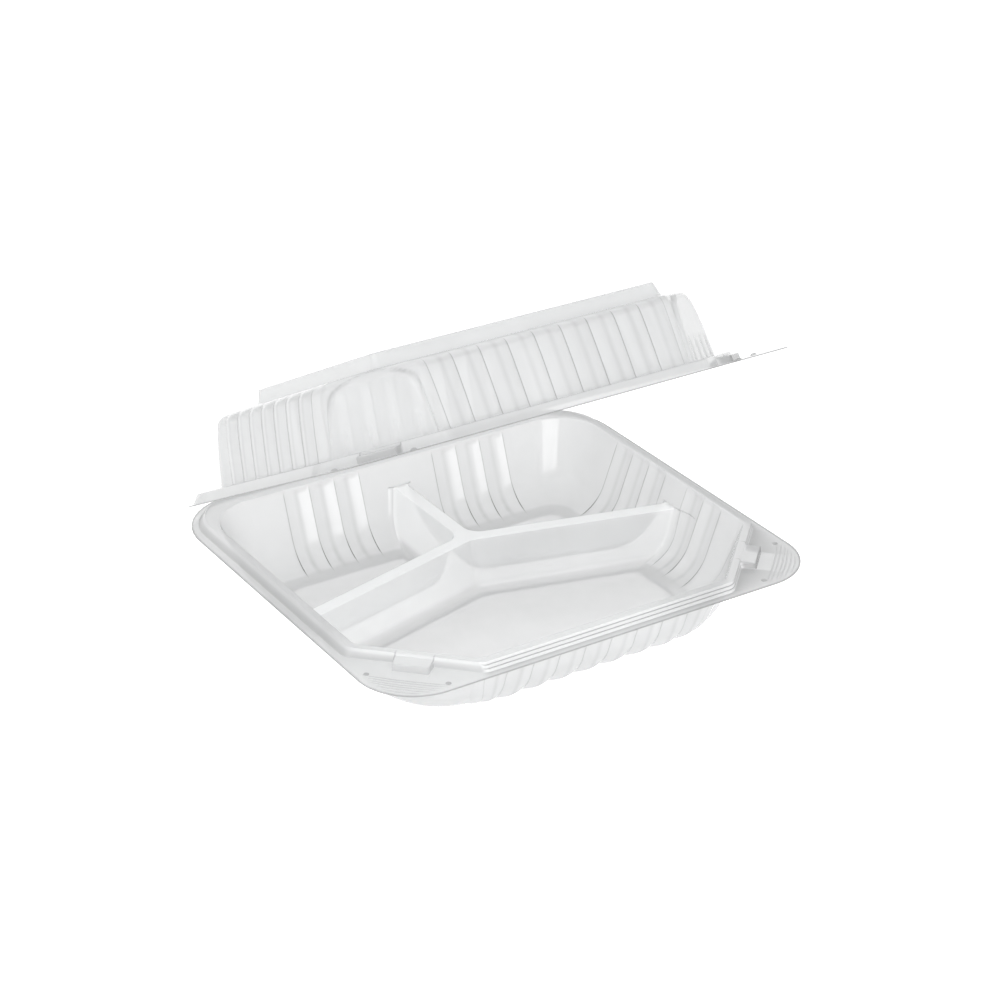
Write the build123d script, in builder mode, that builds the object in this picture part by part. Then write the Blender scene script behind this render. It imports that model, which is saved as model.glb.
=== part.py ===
from build123d import *
import os
from math import asin, ceil, cos, isclose, radians, sin, sqrt, tan

# Clear hinged takeaway container: a tray with three compartments and a fluted, stepped lid.
# X runs along the hinge, +Y points to the hinge, +Z is up and the origin is the middle of the
# resting face. Heights are measured from the top of the tray's flange.
# The lid is drawn closed, then turned to its part-open rest position.

os.makedirs("parts", exist_ok=True)

# Sheet, flanges and bowl
SHEET = 0.4
FLANGE_LENGTH = 210.0
FLANGE_DEPTH = 191.6
HINGE_CORNER_RADIUS = 30.0
TRAY_CORNER_RADIUS = 25.5
LID_CORNER_RADIUS = 14.0
BOWL_DEPTH = 30.0
FLANGE_Z = BOWL_DEPTH + SHEET
FIT_CLEARANCE = 0.3
CUT_EXTRA = 1.0

# Rim that stands up from the flange, and the ledges of flange left outside it
SIDE_LEDGE = 6.1
FRONT_LEDGE = 5.6
BACK_LEDGE = 5.8
RIM_HEIGHT = 4.1
RIM_FLARE = 2.3
RIM_BACK_CORNER = 24.0
CHAMFER_CUT = 26.7
CHAMFER_FLARE = 1.0
CHAMFER_CORNER = 6.0
RIM_SIDE = FLANGE_LENGTH / 2 - SIDE_LEDGE
RIM_FRONT = FLANGE_DEPTH / 2 - FRONT_LEDGE
RIM_BACK = FLANGE_DEPTH / 2 - BACK_LEDGE
RIM_CHAMFER = (RIM_SIDE + RIM_FRONT) / sqrt(2) - CHAMFER_CUT

# Tray opening, inside the flat top of the rim
RIM_SIDE_WIDTH = 3.1
RIM_FRONT_WIDTH = 2.9
RIM_BACK_WIDTH = 9.6
OPENING_CORNER = 21.0
CORNER_SHRINK = 0.55
OPENING_SIDE = RIM_SIDE - RIM_SIDE_WIDTH
OPENING_FRONT = RIM_FRONT - RIM_FRONT_WIDTH
OPENING_BACK = RIM_BACK - RIM_BACK_WIDTH
OPENING_CHAMFER = RIM_CHAMFER - RIM_FRONT_WIDTH

# Tray walls: draft, round foot on the floor, and the facets that curves are built in
WALL_DRAFT = 20.0
WALL_FOOT_RADIUS = 20.0
FOOT_STEPS = 2
CHAMFER_BOW = 6.0
BOW_FACETS = 4
CORNER_FACET_ANGLE = 22.5

# Dividers: a shallow V across the tray, and a short wall from its point to the hinge side
DIVIDER_DROP = 7.0
DIVIDER_SLANT = 14.4
DIVIDER_FRONT = 14.9
DIVIDER_WIDTH = 6.0
DIVIDER_BACK = DIVIDER_FRONT + DIVIDER_WIDTH
SHORT_DIVIDER_WIDTH = 6.2
DIVIDER_DRAFT = 13.0
DIVIDER_FOOT_RADIUS = 4.0
DIVIDER_POINT_CORNER = 8.0
DIVIDER_END_CORNER = 2.0

# Flutes: shallow bulges between sharp valleys, in the tray and lid walls.
# Each row is set by where its first valley lies along the wall and by how many flutes follow.
FLUTE_PITCH = 12.6
FLUTE_RISE = 1.2
FLUTE_FACETS = 3
FLUTE_FADE = 0.06
VALLEY_MARGIN = 0.5
FRONT_FLUTES = 9
BACK_FLUTES = 3
SIDE_FRONT_START = -35.8
SIDE_FRONT_FLUTES = 2
SIDE_BACK_START = 5.2
SIDE_BACK_FLUTES = 3
LID_SIDE_START = -40.2
LID_SIDE_FLUTES = 7

# Latch buttons on the rim's chamfered corners
LATCH_WIDTH = 15.4
LATCH_DEPTH = 6.6
LATCH_DROP = 1.1
LATCH_SLOPE = 0.5
LATCH_CORNER = 1.5
LATCH_ROOT = 4.0
LATCH_REACH = RIM_CHAMFER + LATCH_DEPTH
LATCH_SHIFT = (RIM_SIDE - RIM_FRONT) / sqrt(2)
LATCH_TOP = RIM_HEIGHT - LATCH_DROP

# Lid: flange and channel that close over the tray's rim and latches
LID_FLANGE = FIT_CLEARANCE
CHANNEL = RIM_HEIGHT + FIT_CLEARANCE
LATCH_ROOF = LATCH_TOP + FIT_CLEARANCE

# Lid dome, set in from the tray's opening, and the facets that cut its front corners
DOME_SIDE_LEDGE = 3.8
DOME_FRONT_LEDGE = 3.7
DOME_BACK_LEDGE = 4.0
DOME_CORNER = 20.0
DOME_PLINTH = 3.6
DOME_DRAFT = 9.0
DOME_EDGE_RADIUS = 4.0
SHOULDER_HEIGHT = 34.0
FACET_LEG = 34.0
FACET_LEAN = 0.6
FACET_CORNER = 5.0
DOME_SIDE = OPENING_SIDE - DOME_SIDE_LEDGE
DOME_FRONT = OPENING_FRONT - DOME_FRONT_LEDGE
DOME_BACK = OPENING_BACK - DOME_BACK_LEDGE
DOME_FOOT = CHANNEL + DOME_PLINTH

# Panel raised on the lid's shoulder, set in from the dome
PANEL_SIDE_SHOULDER = 25.0
PANEL_FRONT_SHOULDER = 24.0
PANEL_BACK_SHOULDER = 22.0
PANEL_RISE = 6.5
PANEL_SLOPE = 1.6
PANEL_CORNER = 3.0
PANEL_SIDE = DOME_SIDE - PANEL_SIDE_SHOULDER
PANEL_FRONT = DOME_FRONT - PANEL_FRONT_SHOULDER
PANEL_BACK = DOME_BACK - PANEL_BACK_SHOULDER
PANEL_HEIGHT = SHOULDER_HEIGHT + PANEL_RISE

# Hinge: a bead along the fold line, and how far the lid stands open at rest
BEAD_RADIUS = 0.6
HINGE_Y = FLANGE_DEPTH / 2 - BEAD_RADIUS
HINGE_Z = FLANGE_Z + FIT_CLEARANCE / 2
HINGE_LENGTH = FLANGE_LENGTH - 2 * HINGE_CORNER_RADIUS
OPEN_ANGLE = 29.0


def side(angle, reach, corner, valleys=(), rise=0.0, bow=0.0):
    """Side of a convex outline: outward angle, reach from the middle, and the corner after it."""
    shape = {"angle": angle, "reach": reach, "corner": corner}
    return shape | {"valleys": valleys, "rise": rise, "bow": bow}


def valley_row(start, flutes):
    """Places of the valleys along a side, one more than the flutes between them."""
    return [start + FLUTE_PITCH * step for step in range(flutes + 1)]


def mirrored(valleys):
    """The same valleys, measured along a side that runs the other way."""
    return [-along for along in reversed(valleys)]


front_valleys = valley_row(-FLUTE_PITCH * FRONT_FLUTES / 2, FRONT_FLUTES)
back_valleys = valley_row(front_valleys[-1] - FLUTE_PITCH * BACK_FLUTES, BACK_FLUTES)
side_front_valleys = valley_row(SIDE_FRONT_START, SIDE_FRONT_FLUTES)
side_back_valleys = valley_row(SIDE_BACK_START, SIDE_BACK_FLUTES)
lid_side_valleys = valley_row(LID_SIDE_START, LID_SIDE_FLUTES)


def on_side(edge, along, out=0.0):
    """Point at a distance along a side, and out from it."""
    turn = radians(edge["angle"])
    reach = edge["reach"] + out
    return Vector(reach * cos(turn) - along * sin(turn), reach * sin(turn) + along * cos(turn))


def crossing(edge, other):
    """Distance along a side at which another side crosses it."""
    turn = radians(other["angle"] - edge["angle"])
    return (other["reach"] - edge["reach"] * cos(turn)) / sin(turn)


def bulged(edge, start, end, bulge, facets):
    """Points along a stretch of a side that bulges out by a parabola."""
    shares = [facet / facets for facet in range(facets + 1)]
    return [on_side(edge, start + (end - start) * t, bulge * 4 * t * (1 - t)) for t in shares]


def draw_side(edge, start, end):
    """Side from start to end, in facets across each flute or along a bow."""
    if edge["bow"]:
        Polyline(*bulged(edge, start, end, edge["bow"], BOW_FACETS))
        return
    valleys = edge["valleys"]
    count = len(valleys)
    fitted = []
    for index, along in enumerate(valleys):
        lowest = start + VALLEY_MARGIN * (index + 1)
        highest = end - VALLEY_MARGIN * (count - index)
        fitted.append(min(max(along, lowest), highest))
    stops = [start] + fitted + [end]
    for index, (here, there) in enumerate(zip(stops, stops[1:])):
        if 0 < index < count and isclose(valleys[index] - valleys[index - 1], FLUTE_PITCH):
            bulge = edge["rise"] * (there - here) / FLUTE_PITCH
            Polyline(*bulged(edge, here, there, bulge, FLUTE_FACETS))
        else:
            Line(on_side(edge, here), on_side(edge, there))


def draw_corner(edge, end, turn, facet_angle):
    """Round corner after a side: one true arc, or facets that turn by the given angle at most."""
    hub = on_side(edge, end, -edge["corner"])
    steps = ceil(turn / radians(facet_angle)) if facet_angle else 2
    points = []
    for step in range(steps + 1):
        angle = radians(edge["angle"]) + turn * step / steps
        points.append(hub + Vector(cos(angle), sin(angle)) * edge["corner"])
    draw = Polyline if facet_angle else ThreePointArc
    draw(*points)


def outline(height, sides, facet_angle=None):
    """Face inside the given sides at one height, with arcs or facets at its corners."""
    with BuildSketch(Plane.XY.offset(FLANGE_Z + height)) as sketch:
        with BuildLine():
            for index, edge in enumerate(sides):
                before = sides[index - 1]
                after = sides[(index + 1) % len(sides)]
                turn_in = radians((edge["angle"] - before["angle"]) % 360)
                turn_out = radians((after["angle"] - edge["angle"]) % 360)
                start = crossing(edge, before) + before["corner"] * tan(turn_in / 2)
                end = crossing(edge, after) - edge["corner"] * tan(turn_out / 2)
                draw_side(edge, start, end)
                draw_corner(edge, end, turn_out, facet_angle)
        make_face()
    return sketch.sketch.face()


def stack(faces):
    """Solid through a pile of outlines, straight from each one to the next."""
    with BuildPart() as pile:
        loft(faces, ruled=True)
    return pile.part


def wall_inset(height, top, draft, radius):
    """How far a drafted wall with a round foot has come in at a height."""
    lean = radians(draft)
    knee = radius * (1 - sin(lean)) - BOWL_DEPTH
    if height >= knee:
        return (top - height) * tan(lean)
    turn = asin(min(1.0, 1 - (height + BOWL_DEPTH) / radius))
    return (top - knee) * tan(lean) + radius * (cos(lean) - cos(turn))


def tray_levels():
    """Heights from the rim to the floor, each with the rise of the flutes there."""
    lean = radians(WALL_DRAFT)
    levels = [(RIM_HEIGHT, FLUTE_FADE), (0.0, FLUTE_RISE), (-DIVIDER_DROP, FLUTE_RISE)]
    for step in range(FOOT_STEPS + 1):
        turn = lean + (radians(90) - lean) * step / FOOT_STEPS
        height = WALL_FOOT_RADIUS * (1 - sin(turn)) - BOWL_DEPTH
        levels.append((height, FLUTE_RISE if step < FOOT_STEPS else FLUTE_FADE))
    return levels


def wall_reach(height):
    """Inset of the outer walls, and radius of the hinge-side corners, at a height."""
    inset = wall_inset(height, RIM_HEIGHT, WALL_DRAFT, WALL_FOOT_RADIUS)
    return inset, OPENING_CORNER - CORNER_SHRINK * inset


def chamfer_sides(height, out):
    """The two chamfered corners of the tray wall, flat at the rim and bowed out at the floor."""
    bow = max(FLUTE_FADE, -CHAMFER_BOW * height / BOWL_DEPTH)
    reach = OPENING_CHAMFER + out
    return [side(angle, reach, CHAMFER_CORNER, bow=bow) for angle in (225, 315)]


def common_outline(height, rise, grow):
    """The whole opening, above the dividers; grow gives the outer face of the sheet."""
    inset, corner = wall_reach(height)
    out = grow - inset
    side_valleys = side_front_valleys + side_back_valleys
    both_back_valleys = mirrored(back_valleys) + back_valleys
    left_chamfer, right_chamfer = chamfer_sides(height, out)
    return outline(height - grow * (height < RIM_HEIGHT), [
        side(0, OPENING_SIDE + out, corner + grow, side_valleys, rise),
        side(90, OPENING_BACK + out, corner + grow, both_back_valleys, rise),
        side(180, OPENING_SIDE + out, CHAMFER_CORNER, mirrored(side_valleys), rise),
        left_chamfer,
        side(270, OPENING_FRONT + out, CHAMFER_CORNER, front_valleys, rise),
        right_chamfer,
    ], CORNER_FACET_ANGLE)


def divider_inset(height):
    """How far a divider's wall has spread at a height."""
    return wall_inset(height, -DIVIDER_DROP, DIVIDER_DRAFT, DIVIDER_FOOT_RADIUS)


def front_outline(height, rise, grow):
    """The wide compartment in front of the V divider."""
    out = grow - wall_reach(height)[0]
    divider = DIVIDER_FRONT - divider_inset(height) + grow
    left_chamfer, right_chamfer = chamfer_sides(height, out)
    return outline(height - grow, [
        side(0, OPENING_SIDE + out, DIVIDER_END_CORNER, side_front_valleys, rise),
        side(90 - DIVIDER_SLANT, divider, DIVIDER_POINT_CORNER),
        side(90 + DIVIDER_SLANT, divider, DIVIDER_END_CORNER),
        side(180, OPENING_SIDE + out, CHAMFER_CORNER, mirrored(side_front_valleys), rise),
        left_chamfer,
        side(270, OPENING_FRONT + out, CHAMFER_CORNER, front_valleys, rise),
        right_chamfer,
    ], CORNER_FACET_ANGLE)


def back_outline(height, rise, grow):
    """The small compartment on the right, between the V divider and the hinge side."""
    inset, corner = wall_reach(height)
    out = grow - inset
    divider = grow - divider_inset(height)
    return outline(height - grow, [
        side(0, OPENING_SIDE + out, corner + grow, side_back_valleys, rise),
        side(90, OPENING_BACK + out, DIVIDER_END_CORNER, mirrored(back_valleys), rise),
        side(180, divider - SHORT_DIVIDER_WIDTH / 2, DIVIDER_POINT_CORNER),
        side(270 - DIVIDER_SLANT, divider - DIVIDER_BACK, DIVIDER_END_CORNER),
    ], CORNER_FACET_ANGLE)


def hollow(grow):
    """Space inside the tray, or with grow, the space and the sheet round it."""
    levels = tray_levels()
    lip = common_outline(RIM_HEIGHT + CUT_EXTRA, FLUTE_FADE, grow)
    upper = [common_outline(height, rise, grow) for height, rise in levels[:3]]
    front = [front_outline(height, rise, grow) for height, rise in levels[2:]]
    back = [back_outline(height, rise, grow) for height, rise in levels[2:]]
    with BuildPart() as space:
        add(stack(upper if grow else [lip] + upper))
        add(stack(front))
        add(stack(back))
        add(stack(back).mirror(Plane.YZ))
    return space.part


def flange_outline(height, front_corner):
    """Outer edge of a flange."""
    return outline(height, [
        side(0, FLANGE_LENGTH / 2, HINGE_CORNER_RADIUS),
        side(90, FLANGE_DEPTH / 2, HINGE_CORNER_RADIUS),
        side(180, FLANGE_LENGTH / 2, front_corner),
        side(270, FLANGE_DEPTH / 2, front_corner),
    ])


def rim_outline(height, flare, out):
    """Outer edge of the raised rim; flare runs from 0 at its top to 1 at its foot."""
    spread = out + RIM_FLARE * flare
    bevel = out + CHAMFER_FLARE * flare
    return outline(height, [
        side(0, RIM_SIDE + spread, RIM_BACK_CORNER),
        side(90, RIM_BACK + spread, RIM_BACK_CORNER),
        side(180, RIM_SIDE + spread, CHAMFER_CORNER),
        side(225, RIM_CHAMFER + bevel, CHAMFER_CORNER),
        side(270, RIM_FRONT + spread, CHAMFER_CORNER),
        side(315, RIM_CHAMFER + bevel, CHAMFER_CORNER),
    ])


def rim_block(bottom, foot, top, out):
    """Solid form of the rim, from bottom up to its foot and then to its top."""
    return stack([rim_outline(bottom, 1, out), rim_outline(foot, 1, out), rim_outline(top, 0, out)])


def latch_outline(height, grow):
    """Plan of the left latch button."""
    return outline(height, [
        side(225, LATCH_REACH + grow, LATCH_CORNER),
        side(315, LATCH_WIDTH / 2 - LATCH_SHIFT + grow, LATCH_CORNER),
        side(45, LATCH_ROOT - OPENING_CHAMFER, LATCH_CORNER),
        side(135, LATCH_WIDTH / 2 + LATCH_SHIFT + grow, LATCH_CORNER),
    ])


def latch_blocks(bottom, top, grow):
    """Solid forms of both latch buttons."""
    left = stack([latch_outline(bottom, grow + LATCH_SLOPE), latch_outline(top, grow)])
    return [left, left.mirror(Plane.YZ)]


def dome_outline(height, inset, rise, grow):
    """The lid's dome at one height."""
    reach_side = DOME_SIDE - inset + grow
    facet = (DOME_SIDE + DOME_FRONT - FACET_LEG) / sqrt(2) - FACET_LEAN * inset + grow
    corner = DOME_CORNER - inset + grow
    return outline(height + grow, [
        side(0, reach_side, corner, lid_side_valleys, rise),
        side(90, DOME_BACK - inset + grow, corner, front_valleys, rise),
        side(180, reach_side, FACET_CORNER, mirrored(lid_side_valleys), rise),
        side(225, facet, FACET_CORNER),
        side(270, DOME_FRONT - inset + grow, FACET_CORNER, front_valleys, rise),
        side(315, facet, FACET_CORNER),
    ], CORNER_FACET_ANGLE)


def dome_block(bottom, grow):
    """Solid form of the dome and its panel; grow is 0 for the inner face of the sheet."""
    lean = radians(DOME_DRAFT)
    edge_height = SHOULDER_HEIGHT - DOME_EDGE_RADIUS * (1 - sin(lean))
    edge_inset = (edge_height - DOME_FOOT) * tan(lean)
    faces = [
        dome_outline(bottom - grow, 0.0, FLUTE_RISE, grow),
        dome_outline(DOME_FOOT, 0.0, FLUTE_RISE, grow),
        dome_outline(edge_height, edge_inset, FLUTE_RISE, grow),
    ]
    for turn, rise in ((radians(45), FLUTE_RISE), (radians(90), FLUTE_FADE)):
        height = SHOULDER_HEIGHT - DOME_EDGE_RADIUS * (1 - sin(turn))
        inset = edge_inset + DOME_EDGE_RADIUS * (cos(lean) - cos(turn))
        faces.append(dome_outline(height, inset, rise, grow))
    return stack(faces)


def panel_block(bottom, grow):
    """Solid form of the panel raised on the lid's shoulder."""
    faces = []
    foot, top = SHOULDER_HEIGHT + grow, PANEL_HEIGHT + grow
    for height, spread in ((bottom, PANEL_SLOPE), (foot, PANEL_SLOPE), (top, 0.0)):
        out = spread + grow
        faces.append(outline(height, [
            side(0, PANEL_SIDE + out, PANEL_CORNER),
            side(90, PANEL_BACK + out, PANEL_CORNER),
            side(180, PANEL_SIDE + out, PANEL_CORNER),
            side(270, PANEL_FRONT + out, PANEL_CORNER),
        ]))
    return stack(faces)


hinge_axis = Axis((0, HINGE_Y, HINGE_Z), (-1, 0, 0))
bead_plane = Plane(origin=(0, HINGE_Y, HINGE_Z), z_dir=(1, 0, 0))

# Tray: flange with a hollow rim and latch buttons, then the compartments sunk into it
with BuildPart() as base_tray:
    add(flange_outline(-SHEET, TRAY_CORNER_RADIUS))
    extrude(amount=SHEET)
    add(rim_block(-SHEET, 0.0, RIM_HEIGHT, 0.0))
    add(latch_blocks(-SHEET, LATCH_TOP, 0.0))
    add(rim_block(-SHEET - CUT_EXTRA, -SHEET, RIM_HEIGHT - SHEET, -SHEET), mode=Mode.SUBTRACT)
    add(latch_blocks(-SHEET - CUT_EXTRA, LATCH_TOP - SHEET, -SHEET), mode=Mode.SUBTRACT)
    add(hollow(SHEET))
    add(hollow(0.0), mode=Mode.SUBTRACT)
    with BuildSketch(bead_plane):
        Circle(BEAD_RADIUS)
    extrude(amount=HINGE_LENGTH / 2, both=True)
base_tray.part.label = "base_tray"
export_step(base_tray.part, "parts/base_tray.step")

# Lid, drawn closed: flange, channel over the tray's rim and latches, fluted dome and panel
with BuildPart() as closed_lid:
    add(flange_outline(LID_FLANGE, LID_CORNER_RADIUS))
    extrude(amount=SHEET)
    add(rim_block(LID_FLANGE, LID_FLANGE + SHEET, CHANNEL + SHEET, FIT_CLEARANCE + SHEET))
    add(latch_blocks(LID_FLANGE, LATCH_ROOF + SHEET, FIT_CLEARANCE + SHEET))
    add(dome_block(CHANNEL, SHEET))
    add(panel_block(SHOULDER_HEIGHT - CUT_EXTRA, SHEET))
    add(rim_block(-CUT_EXTRA, LID_FLANGE, CHANNEL, FIT_CLEARANCE), mode=Mode.SUBTRACT)
    add(latch_blocks(-CUT_EXTRA, LATCH_ROOF, FIT_CLEARANCE), mode=Mode.SUBTRACT)
    add(dome_block(CHANNEL - CUT_EXTRA, 0.0), mode=Mode.SUBTRACT)
    add(panel_block(SHOULDER_HEIGHT - CUT_EXTRA, 0.0), mode=Mode.SUBTRACT)
    with BuildSketch(bead_plane):
        Circle(BEAD_RADIUS + FIT_CLEARANCE)
    extrude(amount=FLANGE_LENGTH / 2, both=True, mode=Mode.SUBTRACT)

with BuildPart() as lid:
    add(closed_lid.part.rotate(hinge_axis, OPEN_ANGLE))
lid.part.label = "lid"
export_step(lid.part, "parts/lid.step")
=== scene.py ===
import bmesh
import bpy
from math import asin, atan2, cos, degrees, exp, isclose, radians, sin, sqrt, tan
from mathutils import Matrix, Vector


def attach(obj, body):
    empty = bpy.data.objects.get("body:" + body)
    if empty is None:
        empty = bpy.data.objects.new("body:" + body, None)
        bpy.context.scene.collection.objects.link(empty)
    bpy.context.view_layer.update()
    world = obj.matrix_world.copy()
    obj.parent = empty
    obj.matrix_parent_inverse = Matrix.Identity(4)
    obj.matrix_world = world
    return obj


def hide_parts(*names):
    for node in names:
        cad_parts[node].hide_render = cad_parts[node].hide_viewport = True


# Clear hinged takeaway container: smooth skins of the tray and the lid, in millimetres while
# they are worked out and in metres in the scene. Heights are measured from the flange's top.

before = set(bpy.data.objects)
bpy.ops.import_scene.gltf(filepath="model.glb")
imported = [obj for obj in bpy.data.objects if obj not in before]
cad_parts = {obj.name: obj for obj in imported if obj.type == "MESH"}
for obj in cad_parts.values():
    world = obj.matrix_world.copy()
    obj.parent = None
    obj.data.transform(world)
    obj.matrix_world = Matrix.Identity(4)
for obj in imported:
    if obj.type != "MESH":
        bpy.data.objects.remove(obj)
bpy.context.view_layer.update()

MM = 0.001
SHEET = 0.4
FLANGE_Z = 30.4
GAP = 0.3
BOWL = 30.0

FLANGE_SIDE, FLANGE_FRONT, HINGE_CORNER, TRAY_CORNER, LID_CORNER = 105.0, 95.8, 30.0, 25.5, 14.0
RIM_SIDE, RIM_FRONT, RIM_BACK, RIM_CHAMFER = 98.9, 90.2, 90.0, 107.0
RIM_TOP, RIM_FLARE, CHAMFER_FLARE, RIM_BACK_CORNER, CHAMFER_CORNER = 4.1, 2.3, 1.0, 24.0, 6.0
OPENING_SIDE, OPENING_FRONT, OPENING_BACK, OPENING_CHAMFER = 95.8, 87.3, 80.4, 104.1
OPENING_CORNER, CORNER_SHRINK = 21.0, 0.55
WALL_DRAFT, WALL_FOOT, CHAMFER_BOW = 20.0, 20.0, 6.0
DIVIDER_TOP, SLANT, DIVIDER_FRONT, DIVIDER_BACK = -7.0, 14.4, 14.9, 20.9
SHORT_HALF, DIVIDER_DRAFT, DIVIDER_FOOT, POINT_CORNER, END_CORNER = 3.1, 13.0, 4.0, 8.0, 3.2
DIVIDER_EDGE = 0.45
PITCH, RISE = 12.6, 1.2
LATCH_HALF = 7.7
LATCH_SHIFT = (RIM_SIDE - RIM_FRONT) / sqrt(2)
DOME_SIDE, DOME_FRONT, DOME_BACK, DOME_CORNER = 92.0, 83.6, 76.4, 20.0
FACET_LEG, FACET_LEAN, FACET_CORNER = 34.0, 0.6, 5.0
PANEL_SIDE, PANEL_FRONT, PANEL_BACK, PANEL_TOP = 67.0, 59.6, 54.4, 40.5
HINGE_Y, HINGE_Z, HINGE_LENGTH, HINGE_RADIUS, OPEN_ANGLE = 95.2, 30.55, 150.0, 0.6, 29.0
FOLD_CLEARANCE = 0.9

front_valleys = [PITCH * (step - 4.5) for step in range(10)]
back_valleys = [PITCH * (step + 1.5) for step in range(4)]
side_front = [-35.8 + PITCH * step for step in range(3)]
side_back = [5.2 + PITCH * step for step in range(4)]
lid_side = [-40.2 + PITCH * step for step in range(8)]

# Shares of a flute at which its points lie, closer together beside its valleys and its crest,
# and how near each is to the crest
FLUTE_SHARES = [0, 0.025, 0.1, 0.22, 0.36, 0.44, 0.5, 0.56, 0.64, 0.78, 0.9, 0.975]
CREST = {0.36: 0.1, 0.44: 0.65, 0.5: 1.0, 0.56: 0.65, 0.64: 0.1}
CORNER_STEPS = 10


def mirrored(stops):
    """The same stops along the opposite side."""
    return [-along for along in reversed(stops)]


def smooth(value, low, high):
    """0 below low, 1 above high, and a smooth step between."""
    share = min(max((value - low) / (high - low), 0.0), 1.0)
    return share * share * (3 - 2 * share)


def between(value, table):
    """Value read off a table of pairs, straight between its rows."""
    for (low, first), (high, last) in zip(table, table[1:]):
        if value <= high:
            share = max(0.0, (value - low) / (high - low))
            return first + (last - first) * share
    return table[-1][1]


def side(angle, reach, corner, stops=(), rise=0.0, bow=0.0, steps=(4,)):
    """Side of a ring: outward angle, reach from the middle, and the corner after it."""
    edge = {"angle": angle, "reach": reach, "corner": corner, "stops": list(stops)}
    return edge | {"rise": rise, "bow": bow, "steps": steps}


def on_side(edge, along, out=0.0):
    """Point on a side, a distance along it and a distance out from it."""
    turn = radians(edge["angle"])
    reach = edge["reach"] + out
    return Vector((reach * cos(turn) - along * sin(turn), reach * sin(turn) + along * cos(turn)))


def crossing(edge, other):
    """Distance along a side to where another side crosses it."""
    turn = radians(other["angle"] - edge["angle"])
    return (other["reach"] - edge["reach"] * cos(turn)) / sin(turn)


def ring(sides):
    """Points of a closed outline: place, how near a valley (above 0) or a crest (below 0), which
    sets how much painted shade it gets, the side's angle, the distance along it, and outward."""
    points = []
    for index, edge in enumerate(sides):
        before, after = sides[index - 1], sides[(index + 1) % len(sides)]
        turn_in = radians((edge["angle"] - before["angle"]) % 360)
        turn_out = radians((after["angle"] - edge["angle"]) % 360)
        start = crossing(edge, before) + before["corner"] * tan(turn_in / 2)
        end = crossing(edge, after) - edge["corner"] * tan(turn_out / 2)
        marks = edge["stops"]
        kept = []
        for number, along in enumerate(marks):
            low = start + 0.5 * (number + 1)
            high = end - 0.5 * (len(marks) - number)
            kept.append(min(max(along, low), max(high, low)))
        stops = [start] + kept + [end]
        outward = Vector((cos(radians(edge["angle"])), sin(radians(edge["angle"]))))
        fluted = False
        for number, (here, there) in enumerate(zip(stops, stops[1:])):
            inner = 0 < number < len(marks)
            beside = fluted
            fluted = inner and isclose(marks[number] - marks[number - 1], PITCH)
            steps = edge["steps"][number % len(edge["steps"])]
            if fluted:
                shares = FLUTE_SHARES
            else:
                thin = min(0.3 / max(there - here, 0.1), 0.4 / steps)
                shares = [0.0, thin] + [step / steps for step in range(1, steps)] + [1 - thin]
            for share in shares:
                along = here + (there - here) * share
                if fluted:
                    out = edge["rise"] * (there - here) / PITCH * 4 * share * (1 - share)
                else:
                    part = (along - start) / (end - start)
                    out = edge["bow"] * 4 * part * (1 - part)
                # painted shade: a dark line at each flute's valley and a soft darker band over its
                # crest, as strong as the flute stands out
                valley = edge["rise"] / RISE if share == 0 and (fluted or beside) else 0.0
                if fluted and share in CREST:
                    valley = -CREST[share] * edge["rise"] / RISE
                points.append((on_side(edge, along, out), valley, edge["angle"], along, outward))
        hub = on_side(edge, end, -edge["corner"])
        for step in range(CORNER_STEPS):
            turn = radians(edge["angle"]) + turn_out * step / CORNER_STEPS
            outward = Vector((cos(turn), sin(turn)))
            points.append((hub + outward * edge["corner"], 0.0, None, 0.0, outward))
    return points


def flip(points):
    """The mirror image of a ring across the middle plane, still running the same way round."""
    return [(Vector((-point[0].x, point[0].y)), point[1], None, 0.0) for point in reversed(points)]


def add_skin(mesh, levels):
    """Sheet through a pile of rings with their heights, from the outermost to the innermost.
    The attributes valley and crest say where the material paints shade: dark lines along valleys,
    edges, steps and latches, and soft darker bands along the flutes' crests."""
    count = len(levels[0][0])
    last = len(levels) - 1
    made = bmesh.ops.create_grid(mesh, x_segments=count, y_segments=last, size=1.0)
    valley, crest = mesh.verts.layers.float["valley"], mesh.verts.layers.float["crest"]
    for vert in made["verts"]:
        column = round((vert.co.x + 1) / 2 * count) % count
        points, height = levels[round((vert.co.y + 1) / 2 * last)]
        place, near = points[column][:2]
        lift = height[column] if isinstance(height, list) else height
        vert.co = Vector((place.x, place.y, FLANGE_Z + lift)) * MM
        vert[valley] = max(near, 0.0)
        vert[crest] = max(-near, 0.0)


def wall_inset(height, top, draft, radius):
    """How far in a drafted wall with a rounded foot lies at a height."""
    lean = radians(draft)
    knee = radius * (1 - sin(lean)) - BOWL
    if height >= knee:
        return (top - height) * tan(lean)
    turn = asin(min(1.0, 1 - (height + BOWL) / radius))
    return (top - knee) * tan(lean) + radius * (cos(lean) - cos(turn))


def outer_inset(height):
    """How far in the tray's outer wall lies at a height."""
    return wall_inset(height, RIM_TOP, WALL_DRAFT, WALL_FOOT)


def divider_inset(height):
    """How far a divider's wall has spread at a height; its top edge is rounded over."""
    over = max(0.0, height - (DIVIDER_TOP - DIVIDER_EDGE))
    lip = DIVIDER_EDGE - sqrt(max(DIVIDER_EDGE ** 2 - over * over, 0.0))
    return wall_inset(height, DIVIDER_TOP, DIVIDER_DRAFT, DIVIDER_FOOT) - lip


def tray_rise(height):
    """How far the flutes stand out at a height: less at the rim, more near the foot."""
    fade = 0.05 + 0.95 * smooth(RIM_TOP - height, 0.4, 3.2)
    swell = 1 + 0.9 * smooth(-height, 19, 27)
    return RISE * fade * swell * smooth(height + BOWL, 0.2, 2.0)


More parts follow.
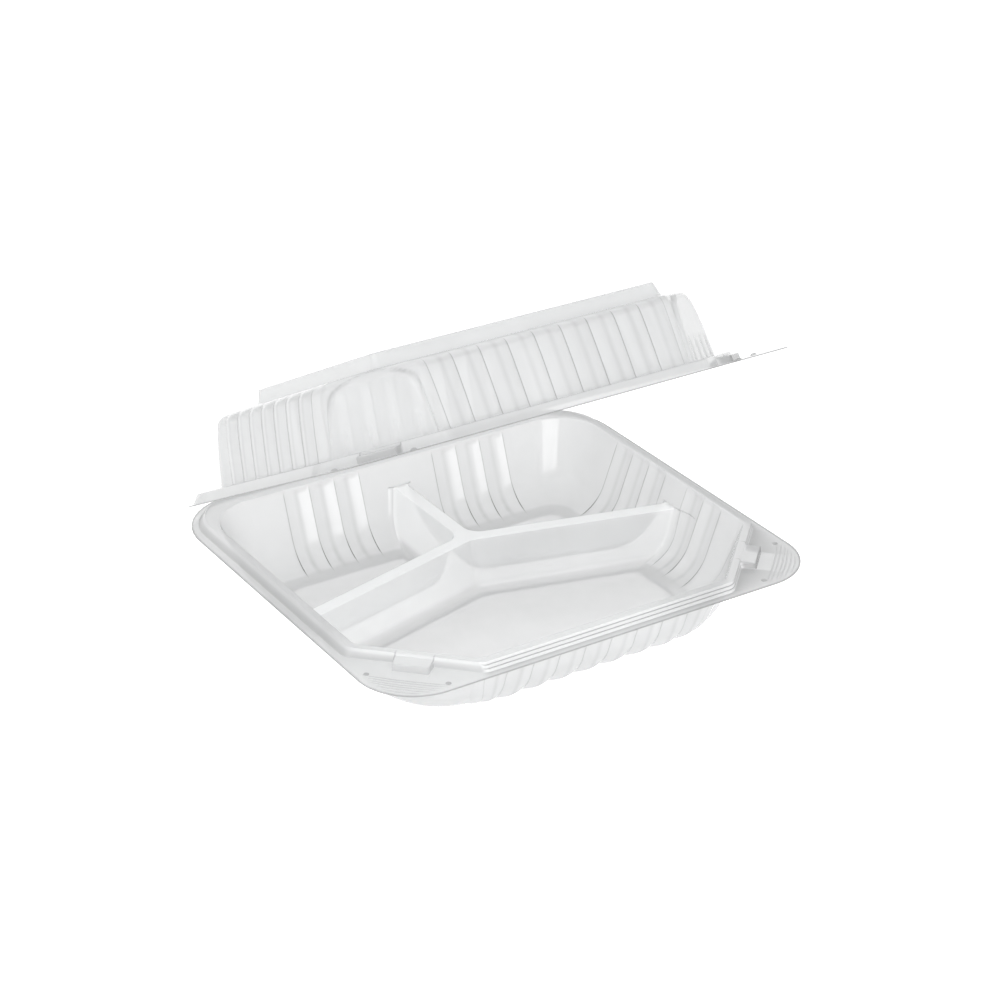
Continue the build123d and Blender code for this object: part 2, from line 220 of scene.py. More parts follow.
def gap_ends():
    """Where the compartments' corners beside the V divider begin, along a side wall."""
    wall = side(0, OPENING_SIDE - outer_inset(DIVIDER_TOP), END_CORNER)
    spread = divider_inset(DIVIDER_TOP)
    front = side(90 - SLANT, DIVIDER_FRONT - spread, END_CORNER)
    back = side(270 - SLANT, -spread - DIVIDER_BACK, END_CORNER)
    low = crossing(wall, front) - END_CORNER * tan(radians(90 - SLANT) / 2)
    high = crossing(wall, back) + END_CORNER * tan(radians(90 + SLANT) / 2)
    return low, high


gap_low, gap_high = gap_ends()
short_end = SHORT_HALF + divider_inset(DIVIDER_TOP) + END_CORNER
tray_side_stops = side_front + [gap_low, gap_high] + side_back
tray_back_stops = mirrored(back_valleys) + [-short_end, short_end] + back_valleys
TRAY_CHAMFER_STEPS = (8, 3, 12, 3, 8)
LID_CHAMFER_STEPS = (16, 3, 16, 3, 16)


def chamfers(reach, corner, bow=0.0, steps=TRAY_CHAMFER_STEPS, spread=0.0):
    """The two front chamfers, with stops at both ends of their latches."""
    outer, inner = LATCH_HALF + 0.6 + spread, LATCH_HALF - 0.4 + spread
    stops = [-outer, -inner, inner, outer]
    left_stops = [along - LATCH_SHIFT for along in stops]
    right_stops = [along + LATCH_SHIFT for along in stops]
    left = side(225, reach, CHAMFER_CORNER, left_stops, bow=bow, steps=steps)
    return left, side(315, reach, corner, right_stops, bow=bow, steps=steps)


def tray_ring(
        reach_side, reach_front, reach_back, reach_chamfer, back_corner, corner, rise=0.0, bow=0.0):
    """One outline of the tray, all of them with the same columns of points."""
    left, right = chamfers(reach_chamfer, corner, bow)
    left["corner"] = corner
    return ring([
        side(0, reach_side, back_corner, tray_side_stops, rise),
        side(90, reach_back, back_corner, tray_back_stops, rise),
        side(180, reach_side, corner, mirrored(tray_side_stops), rise),
        left,
        side(270, reach_front, corner, front_valleys, rise),
        right,
    ])


def chamfer_bow(height):
    """How far the front chamfers bow out at a height."""
    return max(0.0, -CHAMFER_BOW * height / BOWL)


def opening_ring(height, out):
    """The tray's wall at a height, a distance out from its opening."""
    bow = chamfer_bow(height)
    return tray_ring(
        OPENING_SIDE + out, OPENING_FRONT + out, OPENING_BACK + out, OPENING_CHAMFER + out,
        OPENING_CORNER + CORNER_SHRINK * out, CHAMFER_CORNER, tray_rise(height), bow)


def front_ring(height):
    """The wide front compartment at a height."""
    out = -outer_inset(height)
    rise = tray_rise(height)
    divider = DIVIDER_FRONT - divider_inset(height)
    left, right = chamfers(OPENING_CHAMFER + out, CHAMFER_CORNER, chamfer_bow(height))
    return ring([
        side(0, OPENING_SIDE + out, END_CORNER, side_front, rise),
        side(90 - SLANT, divider, POINT_CORNER, steps=(12,)),
        side(90 + SLANT, divider, END_CORNER, steps=(12,)),
        side(180, OPENING_SIDE + out, CHAMFER_CORNER, mirrored(side_front), rise),
        left,
        side(270, OPENING_FRONT + out, CHAMFER_CORNER, front_valleys, rise),
        right,
    ])


def back_ring(height):
    """The right-hand back compartment at a height."""
    inset = outer_inset(height)
    rise = tray_rise(height)
    divider = -divider_inset(height)
    return ring([
        side(0, OPENING_SIDE - inset, OPENING_CORNER - CORNER_SHRINK * inset, side_back, rise),
        side(90, OPENING_BACK - inset, END_CORNER, mirrored(back_valleys), rise),
        side(180, divider - SHORT_HALF, POINT_CORNER, steps=(10,)),
        side(270 - SLANT, divider - DIVIDER_BACK, END_CORNER, steps=(12,)),
    ])


# Rim walls from foot to top, as pairs of how far out and how high: plain, stepped, and a latch
PLAIN_RIM = [
    (2.55, 0.0), (2.2, 0.1), (1.95, 0.55), (1.6, 1.2), (1.35, 1.65), (1.1, 2.1),
    (0.85, 2.55), (0.6, 3.0), (0.35, 3.45), (0.12, 3.82), (-0.05, 4.02), (-0.4, 4.1)]
STEPPED_RIM = [
    (2.5, 0.0), (2.25, 0.1), (2.1, 1.0), (1.95, 1.2), (1.5, 1.3), (1.38, 1.45),
    (1.25, 2.35), (1.1, 2.55), (0.65, 2.65), (0.5, 2.8), (0.35, 3.85), (-0.4, 4.1)]
LATCH = [
    (7.3, 0.0), (7.05, 0.12), (6.95, 1.2), (6.85, 2.3), (6.65, 2.75), (6.2, 2.97),
    (5.4, 3.0), (3.0, 3.0), (1.2, 3.0), (0.5, 3.1), (0.1, 3.8), (-0.4, 4.1)]
CHAMFER_SHARE = CHAMFER_FLARE / RIM_FLARE
# strength of the painted shade on each level of the rim: dark lines along the steps, a darker plain
# outer wall on the left half, and dark lines on the latches
STEP_SHADE_LINES = {0: 0.6, 4: 1.0, 8: 1.0}
LEFT_WALL_SHADE = {1: 0.35, 2: 0.5, 3: 0.45, 4: 0.4, 5: 0.35, 6: 0.25}
LATCH_SHADE_LINES = {1: 1.0, 2: 0.9, 3: 0.9, 4: 0.6}


def to_edge(place, outward, corner, inset):
    """Point on the flange's edge, or inset from it, straight out from a place within it."""
    low, high = 0.0, 80.0
    for _ in range(40):
        reach = (low + high) / 2
        tried = place + outward * reach
        radius = (corner if tried.y < 0 else HINGE_CORNER) - inset
        over_x = abs(tried.x) - (FLANGE_SIDE - inset - radius)
        over_y = abs(tried.y) - (FLANGE_FRONT - inset - radius)
        if over_x > 0 and over_y > 0:
            within = over_x * over_x + over_y * over_y <= radius * radius
        else:
            within = max(over_x, over_y) <= radius
        low, high = (reach, high) if within else (low, reach)
    return place + outward * low


def rim_levels(make, steps, spread, lift, corner):
    """Levels of the flange and of the rim's outer wall, with the latches in its chamfers."""
    levels = []
    foot = make(PLAIN_RIM[0][0] + spread, PLAIN_RIM[0][0] * CHAMFER_SHARE + spread)
    for inset in (0.0, 0.2, 1.0):
        # the lid's edge stops short of the fold, so that it swings clear of the tray's
        furthest = HINGE_Y - FOLD_CLEARANCE - inset / 2 if lift else FLANGE_FRONT
        edge = []
        for point in foot:
            place = to_edge(point[0], point[4], corner, inset)
            place.y = min(place.y, furthest)
            # painted shade: a dark line along the flange's edge, fading inward
            edge.append((place, 1.0 - inset, None, 0.0))
        levels.append((edge, lift))
    for number in range(len(PLAIN_RIM)):
        plain_out, plain_height = PLAIN_RIM[number]
        step_out, step_height = STEPPED_RIM[number]
        latch_out, latch_height = LATCH[number]
        front_out = plain_out + (step_out - plain_out) * steps
        front_height = plain_height + (step_height - plain_height) * steps
        plain_points = make(plain_out + spread, plain_out * CHAMFER_SHARE + spread)
        front_points = make(front_out + spread, front_out * CHAMFER_SHARE + spread)
        points, heights = [], []
        for plain, front in zip(plain_points, front_points):
            angle, along = front[2], front[3]
            # the steps run along the front, the right chamfer and the right side
            facing = degrees(atan2(front[4].y, front[4].x)) % 360
            turn = smooth(facing, 235, 262) if facing > 90 else 1 - smooth(facing, 20, 70)
            place = plain[0].lerp(front[0], turn)
            height = plain_height + (front_height - plain_height) * turn
            # painted shade: dark lines along the steps, and a darker plain outer wall on the left
            # half
            near = STEP_SHADE_LINES.get(number, 0.0) * turn * steps
            if front[0].x < 0:
                near = max(near, LEFT_WALL_SHADE.get(number, 0.0) * (1 - turn) * steps)
            if angle in (225, 315):
                middle = -LATCH_SHIFT if angle == 225 else LATCH_SHIFT
                half = LATCH_HALF + spread
                share = 1 - smooth(abs(along - middle), half - 0.4, half + 0.6)
                reach = RIM_CHAMFER + latch_out + spread
                turned = radians(angle)
                button = Vector((
                    reach * cos(turned) - along * sin(turned),
                    reach * sin(turned) + along * cos(turned)))
                place = place.lerp(button, share)
                height += (latch_height - height) * share
                # painted shade on the latches: dark lines, half as strong on the left one, and dark
                # marks at both ends of each
                strength = 0.5 if angle == 225 else 1.0
                near += (LATCH_SHADE_LINES.get(number, 0.0) * strength - near) * share
                near = max(near, 0.8 * 4 * share * (1 - share) if number else 0.0)
            points.append((place, near, angle, along))
            heights.append(height + lift)
        levels.append((points, heights))
    return levels


def skin_object(name, mesh, body, nodes, material):
    """Object from a finished skin: its sheet gets its thickness, and it rides on its body."""
    data = bpy.data.meshes.new(name)
    mesh.to_mesh(data)
    mesh.free()
    made = bpy.data.objects.new(name, data)
    bpy.context.scene.collection.objects.link(made)
    wall = made.modifiers.new("sheet", "SOLIDIFY")
    wall.thickness = SHEET * MM
    wall.offset = -1.0
    wall.use_even_offset = False
    bpy.context.view_layer.update()
    shown = made.evaluated_get(bpy.context.evaluated_depsgraph_get())
    solid = bpy.data.meshes.new_from_object(shown)
    made.modifiers.clear()
    made.data = solid
    for face in solid.polygons:
        face.use_smooth = True
    solid.set_sharp_from_angle(angle=radians(38))
    solid.materials.clear()
    solid.materials.append(material)
    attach(made, body)
    if nodes:
        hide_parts(*nodes)
    return made


def fill(mesh, height):
    """Flat faces inside the open loops at one height."""
    loops = [edge for edge in mesh.edges if len(edge.link_faces) == 1
             and all(abs(vert.co.z / MM - FLANGE_Z - height) < 0.02 for vert in edge.verts)]
    made = bmesh.ops.triangle_fill(mesh, edges=loops, use_beauty=True, normal=(0, 0, 1))
    return [item for item in made["geom"] if isinstance(item, bmesh.types.BMFace)]


def settle(mesh):
    """Joins the skins' seams and turns every face up and outward."""
    bmesh.ops.remove_doubles(mesh, verts=mesh.verts[:], dist=0.012 * MM)
    bmesh.ops.dissolve_degenerate(mesh, edges=mesh.edges[:], dist=0.002 * MM)
    bmesh.ops.recalc_face_normals(mesh, faces=mesh.faces[:])
    highest = max(mesh.faces, key=lambda face: face.calc_area())
    if highest.normal.z < 0:
        bmesh.ops.reverse_faces(mesh, faces=mesh.faces[:])


def clear_plastic():
    """Thin clear sheet: faint grey, darker where it is seen edge-on, with painted shade along the
    lines and bands that its valley and crest attributes mark, and painted light and shade from a
    third attribute.
    """
    material = bpy.data.materials.new("clear_sheet")
    material.use_nodes = True
    tree = material.node_tree
    nodes, links = tree.nodes, tree.links
    shader = nodes["Principled BSDF"]

    def node(kind, **values):
        """New shader node with its settings."""
        made = nodes.new(kind)
        for key, value in values.items():
            setattr(made, key, value)
        return made

    def maths(operation, first, second, clamp=False):
        """Output of a Math node, fed by numbers or by sockets."""
        made = node("ShaderNodeMath", operation=operation, use_clamp=clamp)
        for socket, value in zip(made.inputs, (first, second)):
            if isinstance(value, (int, float)):
                socket.default_value = value
            else:
                links.new(value, socket)
        return made.outputs[0]

    place = node("ShaderNodeTexCoord").outputs["Object"]
    cloud = node("ShaderNodeTexNoise")
    cloud.inputs["Scale"].default_value = 34.0
    cloud.inputs["Detail"].default_value = 2.0
    links.new(place, cloud.inputs["Vector"])
    bump = node("ShaderNodeBump")
    bump.inputs["Strength"].default_value = BUMP
    bump.inputs["Distance"].default_value = 0.0006
    links.new(cloud.outputs["Fac"], bump.inputs["Height"])
    links.new(bump.outputs["Normal"], shader.inputs["Normal"])

    weight = node("ShaderNodeLayerWeight")
    weight.inputs["Blend"].default_value = 0.5
    valley = node("ShaderNodeAttribute", attribute_name="valley")
    crest = node("ShaderNodeAttribute", attribute_name="crest")
    edge_on = maths("MULTIPLY", maths("POWER", weight.outputs["Facing"], EDGE_POWER), EDGE_ALPHA)
    patchy = maths("MULTIPLY", maths("SUBTRACT", cloud.outputs["Fac"], 0.5), CLOUD_ALPHA)
    base = maths("ADD", maths("ADD", edge_on, patchy), FLAT_ALPHA)
    lined = maths("ADD", base, maths("MULTIPLY", valley.outputs["Fac"], VALLEY_ALPHA))
    # light passes the clear sheet more freely than the eye does
    path = node("ShaderNodeLightPath")
    unseen = maths("MAXIMUM", path.outputs["Is Shadow Ray"], path.outputs["Is Diffuse Ray"])
    kept = maths("SUBTRACT", 1.0, maths("MULTIPLY", unseen, LIGHT_PASS))
    held = maths("MINIMUM", maths("MAXIMUM", lined, 0.01), 0.95)
    links.new(maths("MULTIPLY", held, kept), shader.inputs["Alpha"])

    tint = node("ShaderNodeMapRange")
    tint.inputs["To Min"].default_value = TINT_LOW
    tint.inputs["To Max"].default_value = TINT_HIGH
    links.new(cloud.outputs["Fac"], tint.inputs["Value"])
    # painted light and shade: a vertex attribute paints chosen parts lighter or darker
    painted_light_shade = maths("ADD", 1.0, node("ShaderNodeAttribute", attribute_name="painted_light_shade").outputs["Fac"])
    # darker where seen edge-on, plus painted shade along the valley lines and the crest bands
    dark = maths("MULTIPLY", maths("POWER", weight.outputs["Facing"], 4.0), EDGE_DARK)
    dark = maths("ADD", dark, maths("MULTIPLY", valley.outputs["Fac"], VALLEY_PAINTED_SHADE))
    dark = maths("ADD", dark, maths("MULTIPLY", crest.outputs["Fac"], CREST_PAINTED_SHADE))
    shade = maths("MULTIPLY", tint.outputs["Result"], maths("SUBTRACT", 1.0, dark, clamp=True))
    shade = maths("MINIMUM", maths("MULTIPLY", shade, painted_light_shade), 0.9)
    grey = node("ShaderNodeCombineColor")
    for channel, share in zip(("Red", "Green", "Blue"), (0.985, 0.995, 1.0)):
        links.new(maths("MULTIPLY", shade, share), grey.inputs[channel])
    links.new(grey.outputs["Color"], shader.inputs["Base Color"])
    rough = node("ShaderNodeMapRange")
    rough.inputs["To Min"].default_value = ROUGH_LOW
    rough.inputs["To Max"].default_value = ROUGH_HIGH
    links.new(cloud.outputs["Fac"], rough.inputs["Value"])
    links.new(rough.outputs["Result"], shader.inputs["Roughness"])
    shader.inputs["IOR"].default_value = SHEET_IOR
    shader.inputs["Specular IOR Level"].default_value = SHINE
    return material


FLAT_ALPHA, EDGE_ALPHA, EDGE_POWER, VALLEY_ALPHA, CLOUD_ALPHA = 0.52, 0.40, 2.6, 0.2, 0.05
TINT_LOW, TINT_HIGH, BUMP = 0.56, 0.62, 0.3
ROUGH_LOW, ROUGH_HIGH, SHEET_IOR, SHINE = 0.06, 0.2, 1.57, 0.8
# how dark the sheet gets edge-on, how dark the painted shade is along the valley lines and along
# the crest bands, and how much light passes
EDGE_DARK, VALLEY_PAINTED_SHADE, CREST_PAINTED_SHADE, LIGHT_PASS = 0.22, 0.58, 0.12, 0.78
clear = clear_plastic()


def painted_light_shade_at(place):
    """Painted light and shade: how much lighter the dividers are painted than the rest of the
    sheet, most of all their tops, and the flange and rim towards the front left; the compartments'
    floors are painted darker.
    """
    x, y, height = place.x / MM, place.y / MM, place.z / MM - FLANGE_Z
    if height > -0.5:
        return 0.28 * smooth(-y, 30, 70) * smooth(60 - x, 0, 60)
    if height < -BOWL + 1:
        return -0.14
    if height > DIVIDER_TOP + 0.1:
        return 0.0
    spread, inset = divider_inset(height), outer_inset(height)
    across = abs(x) * sin(radians(SLANT)) + y * cos(radians(SLANT))
    in_v = DIVIDER_FRONT - spread - 0.8 < across < DIVIDER_BACK + spread + 0.8
    margin = POINT_CORNER if across < DIVIDER_BACK + spread + POINT_CORNER else 0.8
    in_short = abs(x) < SHORT_HALF + spread + margin and across > DIVIDER_FRONT
    if abs(x) > OPENING_SIDE - inset - 1 or y > OPENING_BACK - inset - 1 or not (in_v or in_short):
        return 0.0
    top = smooth(height, DIVIDER_TOP - 0.5, DIVIDER_TOP)
    wall = 0.2 * smooth(-x, -15, 40) if across < (DIVIDER_FRONT + DIVIDER_BACK) / 2 else 0.3
    return (wall + (0.6 - wall) * top + 0.14) * smooth(height, -BOWL + 1, -BOWL + 5) - 0.14


# Tray: flange, rim and walls down to the dividers' tops, then the three compartments
tray = bmesh.new()
tray.verts.layers.float.new("valley")
tray.verts.layers.float.new("crest")


def tray_rim(out, chamfer_out):
    """The foot of the tray's rim, moved out."""
    return tray_ring(
        RIM_SIDE + out, RIM_FRONT + out, RIM_BACK + out, RIM_CHAMFER + chamfer_out,
        RIM_BACK_CORNER, CHAMFER_CORNER)


levels = rim_levels(tray_rim, 1.0, 0.0, 0.0, TRAY_CORNER)
levels += [(opening_ring(RIM_TOP, 0.45), 4.1), (opening_ring(RIM_TOP, 0.1), 4.03)]
for height in (3.75, 3.2, 2.4, 1.5, 0.4, -1.0, -2.6, -4.3, -5.7, DIVIDER_TOP):
    levels.append((opening_ring(height, -outer_inset(height)), height))
add_skin(tray, levels)

depths = [DIVIDER_TOP - DIVIDER_EDGE * (1 - cos(radians(turn))) for turn in (0, 30, 55, 75, 90)]
depths += [-9.0, -10.6, -12.4, -14.4, -16.2, -18.2, -20.2, -22.0, -23.6]
depths += [-25.0, -26.2, -27.2, -28.0, -28.7, -29.2, -29.6, -29.85, -29.97, -BOWL]
for make, turned in ((front_ring, False), (back_ring, False), (back_ring, True)):
    levels = []
    for height in depths:
        points = make(height)
        levels.append((flip(points) if turned else points, height))
    floor = levels[-1][0]
    middle = sum((point[0] for point in floor), Vector((0, 0))) / len(floor)
    for scale in (0.97, 0.6):
        shrunk = [(middle.lerp(point[0], scale), 0.0, None, 0.0) for point in floor]
        levels.append((shrunk, -BOWL))
    add_skin(tray, levels)
bmesh.ops.remove_doubles(tray, verts=tray.verts[:], dist=0.012 * MM)
fill(tray, -BOWL)
plateau = fill(tray, DIVIDER_TOP)
bmesh.ops.inset_region(tray, faces=plateau, thickness=0.15 * MM, use_even_offset=False)
settle(tray)
# painted light and shade on the tray: lighter dividers and front-left flange, darker compartment
# floors
painted_light_shade = tray.verts.layers.float.new("painted_light_shade")
for vert in tray.verts:
    vert[painted_light_shade] = painted_light_shade_at(vert.co)
skin_object("tray_sheet", tray, "tray", ["base_tray"], clear)

# Lid, made closed: flange, channel over the rim and latches, dome, shoulder and raised panel
lid = bmesh.new()
lid.verts.layers.float.new("valley")
lid.verts.layers.float.new("crest")
LID_UP = GAP + SHEET


def lid_ring(reach_side, reach_front, reach_back, reach_chamfer, back_corner, corner, rise=0.0):
    """One outline of the lid, all of them with the same columns of points."""
    left, right = chamfers(reach_chamfer, corner, steps=LID_CHAMFER_STEPS, spread=LID_UP)
    left["corner"] = corner
    return ring([
        side(0, reach_side, back_corner, lid_side, rise),
        side(90, reach_back, back_corner, front_valleys, rise),
        side(180, reach_side, corner, mirrored(lid_side), rise),
        left,
        side(270, reach_front, corner, front_valleys, rise),
        right,
    ])


def lid_rim(out, chamfer_out):
    """The foot of the lid's channel, moved out."""
    return lid_ring(
        RIM_SIDE + out, RIM_FRONT + out, RIM_BACK + out, RIM_CHAMFER + chamfer_out,
        RIM_BACK_CORNER, CHAMFER_CORNER)


DOME_INSETS = [
    (5.6, 0.0), (14.5, 1.3), (23.0, 2.7), (28.0, 3.7), (30.7, 4.4), (32.2, 5.4), (33.0, 6.4),
    (33.5, 7.6), (33.8, 9.0), (34.0, 11.0)]
ARCH_HALF = [
    (5.0, 23.0), (9.0, 22.3), (17.0, 21.0), (24.0, 19.0), (28.0, 17.0), (29.6, 15.5),
    (31.5, 11.5), (32.6, 8.5), (33.2, 4.0), (33.6, -3.0)]
ARCH_RISE, ARCH_EDGE, ARCH_SHADE_LINE = 1.5, 1.6, 0.4
GROOVES, GROOVE_DEPTH, GROOVE_WIDTH = (-15.7, -5.2, 5.2, 15.7), 0.7, 1.1


def dome_ring(height, out, rise):
    """One outline of the dome. On its facets an arch stands out, with a painted shade line along
    its edge, and short grooves are sunk.
    """
    facet = (DOME_SIDE + DOME_FRONT - FACET_LEG) / sqrt(2)
    points = lid_ring(
        DOME_SIDE + out, DOME_FRONT + out, DOME_BACK + out, facet + FACET_LEAN * out,
        DOME_CORNER + 0.4 * out, FACET_CORNER, rise)
    shaped = []
    for place, near, angle, along, _ in points:
        if angle in (225, 315):
            middle = (DOME_SIDE - DOME_FRONT) / sqrt(2) * (-1 if angle == 225 else 1)
            off = along - middle
            margin = between(height, ARCH_HALF) - abs(off)
            sunk = -ARCH_RISE * smooth(margin, -ARCH_EDGE, ARCH_EDGE)
            # painted shade: a dark line along the arch's edge
            near = ARCH_SHADE_LINE * exp(-((margin + 1.2) / 0.9) ** 2)
            for groove in GROOVES:
                beside = exp(-((off - groove) / GROOVE_WIDTH) ** 2)
                sunk += GROOVE_DEPTH * beside * (1 - smooth(height, 12.5, 15.5))
            turned = radians(angle)
            place = place - Vector((cos(turned), sin(turned))) * sunk
        shaped.append((place, near, angle, along))
    return shaped


levels = rim_levels(lid_rim, 0.0, LID_UP, LID_UP, LID_CORNER)
LEDGE = RIM_TOP + LID_UP
for height, out in ((LEDGE, 1.0), (LEDGE, 0.85), (LEDGE + 0.07, 0.45), (LEDGE + 0.35, 0.15)):
    levels.append((dome_ring(height, out + SHEET, RISE), height))
for height in (
        5.6, 6.6, 7.8, 9.0, 10.2, 11.4, 12.6, 13.8, 15.0, 16.4, 18.0, 19.6, 21.2, 22.8, 24.4,
        26.0, 27.4, 28.6, 29.7, 30.7, 31.5, 32.2, 32.7, 33.1, 33.4, 33.65, 33.85, 34.0):
    rise = RISE * (0.05 + 0.95 * (1 - smooth(height, 31.5, 34.0)))
    levels.append((dome_ring(height, SHEET - between(height, DOME_INSETS), rise), height + SHEET))


PANEL_MIDDLE = Vector((0, (PANEL_BACK - PANEL_FRONT) / 2))
PANEL_HALF = (PANEL_BACK + PANEL_FRONT) / 2


def panel_ring(out):
    """The shoulder's outline drawn in towards the panel's own rounded rectangle."""
    radius = 3.0 + 0.3 * out
    across, deep = PANEL_SIDE + out - radius, PANEL_HALF + out - radius
    points = []
    for point in shoulder:
        ray = point[0] - PANEL_MIDDLE
        low, high = 0.0, 1.0
        for _ in range(30):
            share = (low + high) / 2
            over_x, over_y = abs(ray.x * share) - across, abs(ray.y * share) - deep
            if over_x > 0 and over_y > 0:
                within = over_x * over_x + over_y * over_y <= radius * radius
            else:
                within = max(over_x, over_y) <= radius
            low, high = (share, high) if within else (low, share)
        points.append((PANEL_MIDDLE + ray * low, 0.0, None, 0.0))
    return points


shoulder = levels[-1][0]
for height, out in ((34.1, 3.0), (34.12, 2.3), (34.3, 1.85), (34.8, 1.6), (36.6, 1.15), (38.4, 0.7),
                    (39.9, 0.35), (40.3, 0.15), (40.47, -0.15), (40.5, -0.6)):
    levels.append((panel_ring(out + SHEET), height + SHEET))
top = levels[-1][0]
middle = sum((point[0] for point in top), Vector((0, 0))) / len(top)
for scale in (0.97, 0.6):
    levels.append(([(middle.lerp(point[0], scale), 0.0, None, 0.0) for point in top], 40.5 + SHEET))
add_skin(lid, levels)
bmesh.ops.remove_doubles(lid, verts=lid.verts[:], dist=0.012 * MM)
fill(lid, PANEL_TOP + SHEET)
settle(lid)
# painted light on the lid: all of it a little lighter, its shoulder and raised panel more
painted_light_shade = lid.verts.layers.float.new("painted_light_shade")
for vert in lid.verts:
    vert[painted_light_shade] = 0.1 + 0.12 * smooth(vert.co.z / MM - FLANGE_Z, 33, 36)
hinge = Matrix.Translation(Vector((0, HINGE_Y, HINGE_Z)) * MM)
opening = hinge @ Matrix.Rotation(radians(-OPEN_ANGLE), 4, "X") @ hinge.inverted()
bmesh.ops.transform(lid, verts=lid.verts[:], matrix=opening)
skin_object("lid_sheet", lid, "lid", ["lid"], clear)


# Nubs and fine grip lines on the flanges' front corners
def small_piece(name, mesh, body):
    """Object from a small finished mesh, which rides on its body."""
    data = bpy.data.meshes.new(name)
    mesh.to_mesh(data)
    mesh.free()
    data.materials.append(clear)
    for face in data.polygons:
        face.use_smooth = True
    data.set_sharp_from_angle(angle=radians(50))
    made = bpy.data.objects.new(name, data)
    bpy.context.scene.collection.objects.link(made)
    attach(made, body)
    return made


def linked(verts, kind):
    """The edges or faces at some vertices, each once and in the same order every run."""
    return list(dict.fromkeys(item for vert in verts for item in getattr(vert, kind)))


def add_nub(mesh, x, y, height, radius, rise):
    """Low round nub that stands on a flange."""
    place = Matrix.Translation(Vector((x, y, FLANGE_Z + height)) * MM)
    shape = Matrix.Diagonal(Vector((radius, radius, rise, 1 / MM))) * MM
    made = bmesh.ops.create_uvsphere(
        mesh, u_segments=20, v_segments=12, radius=1.0, matrix=place @ shape)
    # painted shade: the whole nub is drawn darker and more opaque
    for vert in made["verts"]:
        vert[mesh.verts.layers.float["valley"]] = 0.5
    geometry = made["verts"] + linked(made["verts"], "link_edges")
    geometry += linked(made["verts"], "link_faces")
    cut = bmesh.ops.bisect_plane(
        mesh, geom=geometry, plane_co=(0, 0, (FLANGE_Z + height - 0.1) * MM), plane_no=(0, 0, -1),
        clear_outer=True)
    rim = [item for item in cut["geom_cut"] if isinstance(item, bmesh.types.BMEdge)]
    bmesh.ops.contextual_create(mesh, geom=rim)


NUBS = [(100.0, -68.0), (76.5, -91.0)]
GRIP_REACHES = [120.6, 122.2, 124.0, 125.5, 127.3, 129.2]
GRIP_WIDTH, GRIP_RISE, GRIP_BOW, GRIP_SUNK = 0.8, 0.2, 0.9, 0.15
hub = Vector((FLANGE_SIDE - TRAY_CORNER, -(FLANGE_FRONT - TRAY_CORNER)))
hub_reach = (hub.x - hub.y) / sqrt(2)
marks = bmesh.new()
marks.verts.layers.float.new("valley")
for mirror in (1, -1):
    for x, y in NUBS:
        add_nub(marks, mirror * x, y, 0.0, 1.2, 0.25)
    for reach in GRIP_REACHES:
        half = sqrt(TRAY_CORNER ** 2 - (reach - hub_reach) ** 2) - 2.4
        made = bmesh.ops.create_grid(marks, x_segments=24, y_segments=6, size=1.0)
        for vert in made["verts"]:
            along, across = vert.co.x, vert.co.y
            end = 1 - 0.85 * abs(along) ** 6
            out = reach + across * GRIP_WIDTH / 2 * end - GRIP_BOW * along * along
            run = LATCH_SHIFT + along * half
            rise = GRIP_RISE * (1 - across * across) * end - 0.02
            x, y = mirror * (out + run) / sqrt(2), (run - out) / sqrt(2)
            vert.co = Vector((x, y, FLANGE_Z + rise)) * MM
        under = bmesh.ops.extrude_face_region(
            marks, geom=linked(made["verts"], "link_faces"))
        lower = [item for item in under["geom"] if isinstance(item, bmesh.types.BMVert)]
        # the undersides lie flat, sunk into the flange
        flat = Matrix.Translation(Vector((0, 0, (GRIP_SUNK - FLANGE_Z) * MM)))
        bmesh.ops.scale(marks, verts=lower, vec=(1, 1, 0), space=flat)
bmesh.ops.recalc_face_normals(marks, faces=marks.faces[:])
small_piece("tray_marks", marks, "tray")

lid_marks = bmesh.new()
lid_marks.verts.layers.float.new("valley")
for mirror in (1, -1):
    for x, y in NUBS:
        add_nub(lid_marks, mirror * x, y, LID_UP, 1.4, 0.9)
bmesh.ops.recalc_face_normals(lid_marks, faces=lid_marks.faces[:])
bmesh.ops.transform(lid_marks, verts=lid_marks.verts[:], matrix=opening)
small_piece("lid_marks", lid_marks, "lid")

# Bead along the fold
bead = bmesh.new()
bmesh.ops.create_cone(
    bead, cap_ends=True, segments=20, radius1=HINGE_RADIUS * MM,
    radius2=HINGE_RADIUS * MM, depth=HINGE_LENGTH * MM,
    matrix=hinge @ Matrix.Rotation(radians(90), 4, "Y"))
small_piece("hinge_bead", bead, "tray")

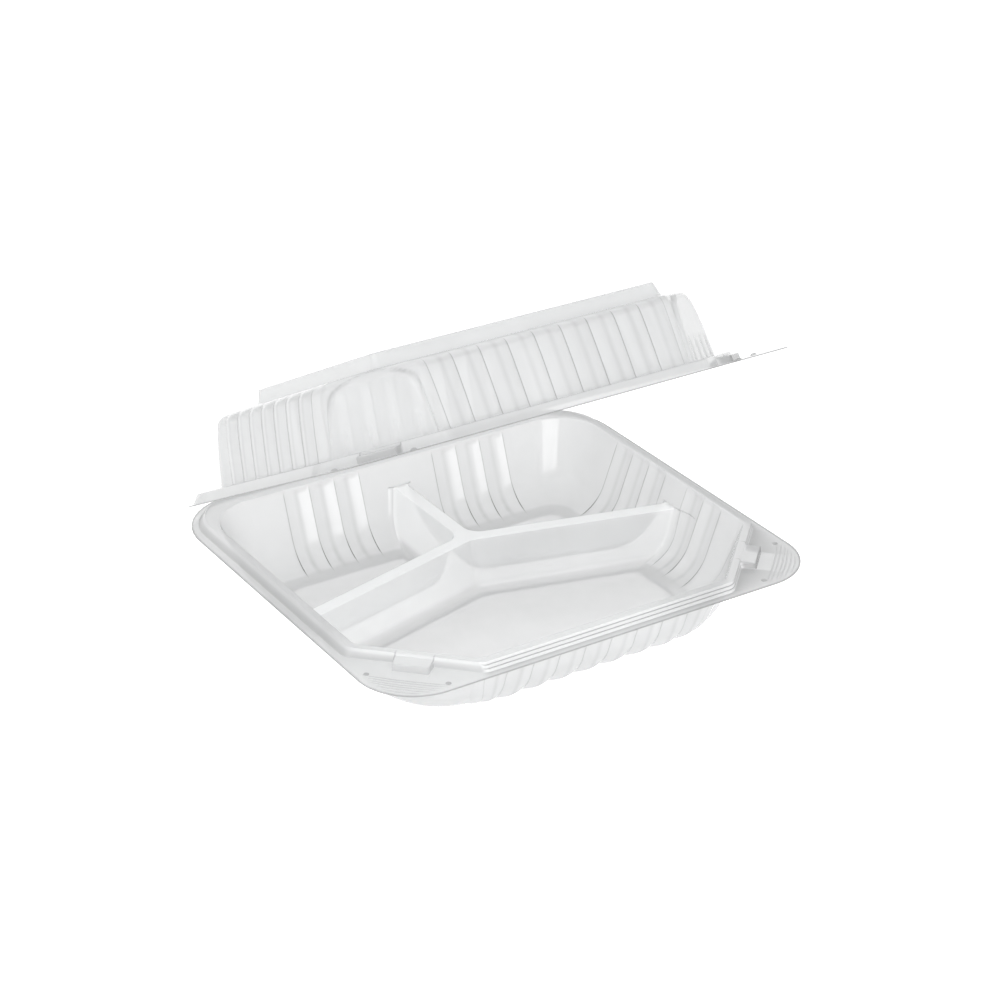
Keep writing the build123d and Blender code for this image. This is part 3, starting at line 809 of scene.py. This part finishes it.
# Floor, light and camera
floor_data = bpy.data.meshes.new("floor")
floor_mesh = bmesh.new()
bmesh.ops.create_grid(floor_mesh, x_segments=1, y_segments=1, size=4.0)
floor_mesh.to_mesh(floor_data)
floor_mesh.free()
floor_piece = bpy.data.objects.new("floor", floor_data)
bpy.context.scene.collection.objects.link(floor_piece)
paper = bpy.data.materials.new("floor")
paper.use_nodes = True
for socket, value in {
        "Base Color": (0.9, 0.9, 0.9, 1), "Roughness": 0.9, "Specular IOR Level": 0.0,
        "Emission Color": (1, 1, 1, 1), "Emission Strength": 0.45}.items():
    paper.node_tree.nodes["Principled BSDF"].inputs[socket].default_value = value
floor_data.materials.append(paper)

world = bpy.data.worlds.new("studio")
bpy.context.scene.world = world
world.use_nodes = True
sky = world.node_tree
plain = sky.nodes["Background"]
plain.inputs["Color"].default_value = (1, 1, 1, 1)
plain.inputs["Strength"].default_value = 0.86
seen = sky.nodes.new("ShaderNodeBackground")
seen.inputs["Strength"].default_value = 1.0
path = sky.nodes.new("ShaderNodeLightPath")
choose = sky.nodes.new("ShaderNodeMixShader")
sky.links.new(path.outputs["Is Camera Ray"], choose.inputs["Fac"])
sky.links.new(plain.outputs["Background"], choose.inputs[1])
sky.links.new(seen.outputs["Background"], choose.inputs[2])
sky.links.new(choose.outputs["Shader"], sky.nodes["World Output"].inputs["Surface"])


def lamp(name, place, aim, size, power):
    """Rectangular lamp that looks at a point."""
    light = bpy.data.lights.new(name, "AREA")
    light.shape = "RECTANGLE"
    light.size, light.size_y = size
    light.energy = power
    made = bpy.data.objects.new(name, light)
    made.location = place
    made.rotation_euler = (Vector(aim) - Vector(place)).to_track_quat("-Z", "Y").to_euler()
    bpy.context.scene.collection.objects.link(made)


lamp("key", (-0.9, -0.3, 1.2), (0, 0, 0.05), (1.0, 1.0), 2.5)
lamp("fill", (-0.2, -1.5, 0.35), (0, 0, 0.05), (1.2, 0.8), 7.5)
lamp("back", (0.2, 1.1, 0.8), (0, 0, 0.05), (1.2, 0.5), 2.0)

camera_data = bpy.data.cameras.new("camera")
camera_data.lens = 97.29
camera_data.sensor_width = 36.0
camera_data.clip_end = 20.0
camera = bpy.data.objects.new("camera", camera_data)
camera.location = (-0.5398, -0.8580, 0.5747)
camera.rotation_euler = Vector((0.4758, 0.7495, -0.4602)).to_track_quat("-Z", "Y").to_euler()
bpy.context.scene.collection.objects.link(camera)
bpy.context.scene.camera = camera
bpy.context.scene.view_settings.view_transform = "Standard"
